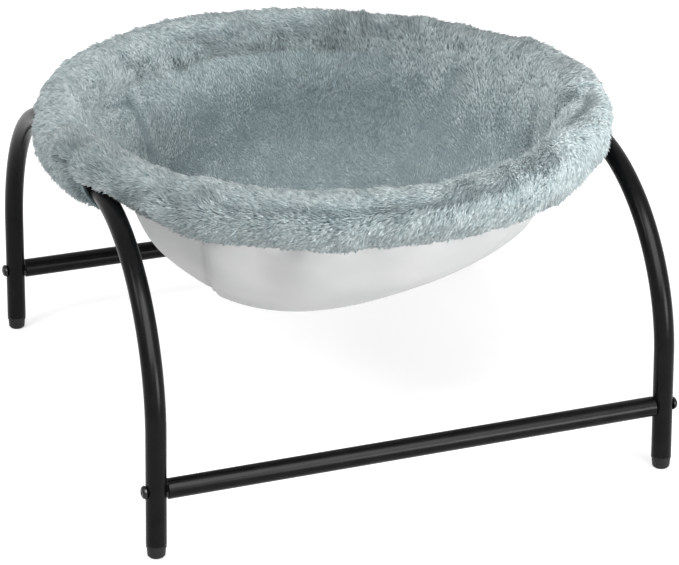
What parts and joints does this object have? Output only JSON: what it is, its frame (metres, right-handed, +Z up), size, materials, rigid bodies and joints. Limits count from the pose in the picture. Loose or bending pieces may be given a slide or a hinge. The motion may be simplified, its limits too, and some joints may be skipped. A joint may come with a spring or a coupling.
{
  "type": "pet hammock bed",
  "caption": "Raised pet bed: a plush-lined cloth bowl hangs from a round rim on a frame of bent steel tube arches joined by crossbars.",
  "frame": {"origin": "middle of the bed on the floor", "axes": "+Z up, +X from the left arch to the right arch, the pictured front faces -Y"},
  "size_m": [0.5511, 0.548, 0.3253],
  "materials": {
    "frame_paint": "satin black powder coat on steel tube",
    "foot_plastic": "moulded, fine matt grain",
    "insert_plastic": "plain moulded",
    "bolt_steel": "black oxide",
    "zinc_steel": "bright zinc plate",
    "grey_plush": "long-pile faux fur, blue grey",
    "pale_cloth": "smooth woven cloth, matt off-white"
  },
  "bodies": {
    "root": {"left_arch": "frame_paint", "right_arch": "frame_paint", "foot_cap_front_left": "foot_plastic", "foot_cap_back_left": "foot_plastic", "foot_cap_front_right": "foot_plastic", "foot_cap_back_right": "foot_plastic", "front_crossbar": "frame_paint", "back_crossbar": "frame_paint", "crossbar_insert_front_left": "insert_plastic", "crossbar_insert_front_right": "insert_plastic", "crossbar_insert_back_left": "insert_plastic", "crossbar_insert_back_right": "insert_plastic", "crossbar_bolt_front_left": "bolt_steel", "crossbar_bolt_front_right": "bolt_steel", "crossbar_bolt_back_left": "bolt_steel", "crossbar_bolt_back_right": "bolt_steel", "ring_front_half": "frame_paint", "ring_back_half": "frame_paint", "ring_rivet_nut_front_left": "zinc_steel", "ring_rivet_nut_front_right": "zinc_steel", "ring_rivet_nut_back_left": "zinc_steel", "ring_rivet_nut_back_right": "zinc_steel", "ring_bolt_front_left": "bolt_steel", "ring_bolt_front_right": "bolt_steel", "ring_bolt_back_left": "bolt_steel", "ring_bolt_back_right": "bolt_steel", "plush_rim_front": "grey_plush", "plush_rim_back": "grey_plush", "plush_rim_left": "grey_plush", "plush_rim_right": "grey_plush", "shell_panel_front": "pale_cloth", "shell_panel_back": "pale_cloth", "shell_panel_left": "pale_cloth", "shell_panel_right": "pale_cloth", "lining_panel_front": "grey_plush", "lining_panel_back": "grey_plush", "lining_panel_left": "grey_plush", "lining_panel_right": "grey_plush"}
  },
  "joints": []
}
